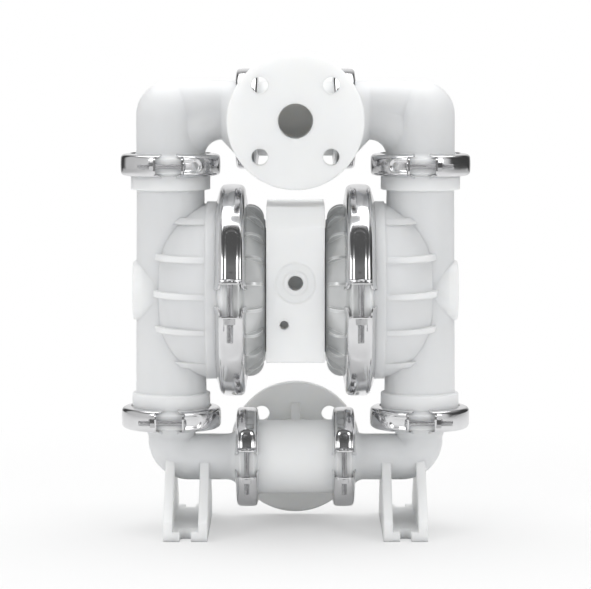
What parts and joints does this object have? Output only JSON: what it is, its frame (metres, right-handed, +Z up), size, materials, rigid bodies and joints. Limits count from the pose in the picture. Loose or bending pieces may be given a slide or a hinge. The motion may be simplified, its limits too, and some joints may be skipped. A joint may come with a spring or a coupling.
{
  "type": "air operated diaphragm pump",
  "caption": "Air operated double diaphragm pump: two clamped pumping chambers on a centre block, flanged manifolds, ball valves and slotted feet.",
  "frame": {"origin": "on the floor under the middle of the pump", "axes": "+Z up, -Y to the front where the discharge flange and the exhaust port face, +X along the diaphragm shaft"},
  "size_m": [0.3914, 0.2654, 0.536],
  "materials": {
    "moulded_plastic": "translucent moulded white, satin",
    "ribbed_casting": "light grey satin coating",
    "band_steel": "polished stainless",
    "fastener_steel": "bright zinc or stainless",
    "shaft_steel": "ground",
    "piston_plastic": "moulded",
    "piston_metal": "cast",
    "elastomer": "matt black",
    "ball_rubber": "matt",
    "seal_rubber": "matt",
    "gasket_sheet": "sheet",
    "valve_plastic": "moulded white",
    "bushing_bronze": "turned",
    "spool_metal": "turned"
  },
  "bodies": {
    "casing": {"air_chamber_left": "ribbed_casting", "air_chamber_right": "ribbed_casting", "air_chamber_screws": "fastener_steel", "air_gaskets": "gasket_sheet", "air_valve_body": "valve_plastic", "air_valve_end_caps": "valve_plastic", "air_valve_screws": "fastener_steel", "center_block": "moulded_plastic", "chamber_band_bolts": "fastener_steel", "chamber_band_lower_left": "band_steel", "chamber_band_lower_right": "band_steel", "chamber_band_nuts": "fastener_steel", "chamber_band_upper_left": "band_steel", "chamber_band_upper_right": "band_steel", "column_band_lower_left": "band_steel", "column_band_lower_right": "band_steel", "column_band_upper_left": "band_steel", "column_band_upper_right": "band_steel", "column_seals": "seal_rubber", "diaphragm_left": "elastomer", "diaphragm_right": "elastomer", "discharge_elbow_left": "moulded_plastic", "discharge_elbow_right": "moulded_plastic", "discharge_seats": "moulded_plastic", "discharge_tee": "moulded_plastic", "inlet_elbow_left": "moulded_plastic", "inlet_elbow_right": "moulded_plastic", "inlet_seats": "moulded_plastic", "inlet_tee": "moulded_plastic", "joint_band_bolts": "fastener_steel", "joint_band_nuts": "fastener_steel", "liquid_chamber_left": "moulded_plastic", "liquid_chamber_right": "moulded_plastic", "manifold_band_lower_left": "band_steel", "manifold_band_lower_right": "band_steel", "manifold_band_upper_left": "band_steel", "manifold_band_upper_right": "band_steel", "manifold_seals": "seal_rubber", "pilot_sleeve": "spool_metal", "pilot_snap_rings": "fastener_steel", "shaft_bushing": "bushing_bronze", "shaft_seals": "seal_rubber", "valve_gasket": "gasket_sheet", "valve_plate": "valve_plastic"},
    "shaft": {"diaphragm_shaft": "shaft_steel", "disc_springs": "shaft_steel", "inner_piston_left": "piston_metal", "inner_piston_right": "piston_metal", "outer_piston_left": "piston_plastic", "outer_piston_right": "piston_plastic"},
    "pilot": {"pilot_spool": "spool_metal"},
    "spool": {"air_valve_spool": "spool_metal"},
    "inlet_ball_left_body": {"inlet_ball_left": "ball_rubber"},
    "inlet_ball_right_body": {"inlet_ball_right": "ball_rubber"},
    "discharge_ball_left_body": {"discharge_ball_left": "ball_rubber"},
    "discharge_ball_right_body": {"discharge_ball_right": "ball_rubber"}
  },
  "joints": [
    {"name": "shaft_stroke", "type": "slide", "parent": "casing", "child": "shaft", "axis": [1, 0, 0], "range_m": [-0.015, 0.015], "deforming": ["diaphragm_left", "diaphragm_right"]},
    {"name": "pilot_shift", "type": "slide", "parent": "casing", "child": "pilot", "axis": [1, 0, 0], "range_m": [-0.003, 0.003]},
    {"name": "valve_spool_shift", "type": "slide", "parent": "casing", "child": "spool", "axis": [0, 0, 1], "range_m": [-0.005, 0.005]},
    {"name": "inlet_ball_lift_left", "type": "slide", "parent": "casing", "child": "inlet_ball_left_body", "axis": [0, 0, 1], "range_m": [0, 0.013]},
    {"name": "inlet_ball_lift_right", "type": "slide", "parent": "casing", "child": "inlet_ball_right_body", "axis": [0, 0, 1], "range_m": [0, 0.013]},
    {"name": "discharge_ball_lift_left", "type": "slide", "parent": "casing", "child": "discharge_ball_left_body", "axis": [0, 0, 1], "range_m": [0, 0.013]},
    {"name": "discharge_ball_lift_right", "type": "slide", "parent": "casing", "child": "discharge_ball_right_body", "axis": [0, 0, 1], "range_m": [0, 0.013]}
  ],
  "couplings": [
    {"joint": "pilot_shift", "follows": "shaft_stroke", "ratio": 0.2}
  ]
}
